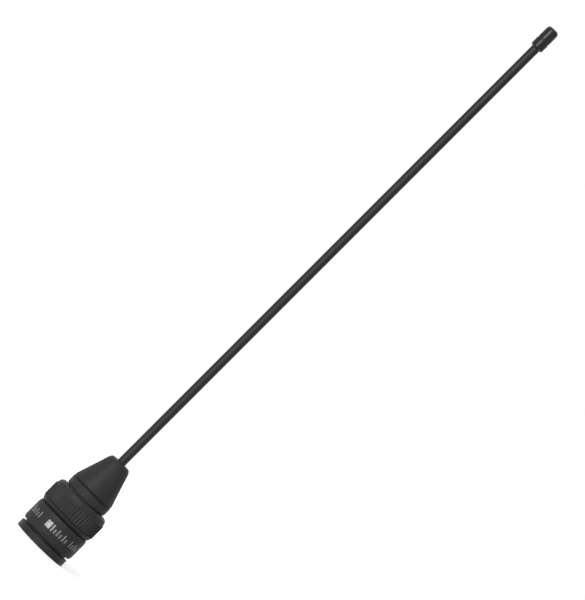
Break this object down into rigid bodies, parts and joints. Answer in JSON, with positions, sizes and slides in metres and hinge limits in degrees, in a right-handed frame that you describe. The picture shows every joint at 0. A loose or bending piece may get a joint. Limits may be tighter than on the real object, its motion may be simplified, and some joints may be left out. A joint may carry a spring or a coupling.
{
  "type": "whip antenna",
  "caption": "Short straight black whip antenna with a conical base and a knurled threaded coaxial plug that screws onto a radio.",
  "frame": {"origin": "centre of the coupling nut's front rim, in the plane that the part stands on", "axes": "+Z along the whip, from the plug to the tip; +X midway between two slots of the outer contact"},
  "size_m": [0.0151, 0.015, 0.1666],
  "materials": {
    "black_plated_brass": "black plated, satin",
    "white_bronze_plate": "white bronze plate, bright",
    "gold_plate": "gold plated, bright",
    "insulator_resin": "white fluoropolymer, waxy",
    "gasket_silicone": "matt silicone",
    "spring_bronze": "bare spring bronze",
    "bare_brass": "turned brass",
    "spring_steel": "drawn wire",
    "boot_plastic": "black moulded, satin",
    "jacket_plastic": "black extruded, semi-gloss",
    "cap_plastic": "black moulded, glossy"
  },
  "bodies": {
    "antenna": {"connector_body": "black_plated_brass", "outer_contact": "white_bronze_plate", "face_gasket": "gasket_silicone", "retaining_ring": "spring_bronze", "front_insulator": "insulator_resin", "centre_pin": "gold_plate", "rear_insulator": "insulator_resin", "whip_ferrule": "bare_brass", "whip_wire": "spring_steel", "whip_jacket": "jacket_plastic", "base_boot": "boot_plastic", "tip_cap": "cap_plastic"},
    "nut": {"coupling_nut": "black_plated_brass"}
  },
  "joints": [
    {"name": "nut_turn", "type": "hinge", "parent": "antenna", "child": "nut", "pos_m": [0, 0, 0.011], "axis": [0, 0, 1], "continuous": true}
  ]
}
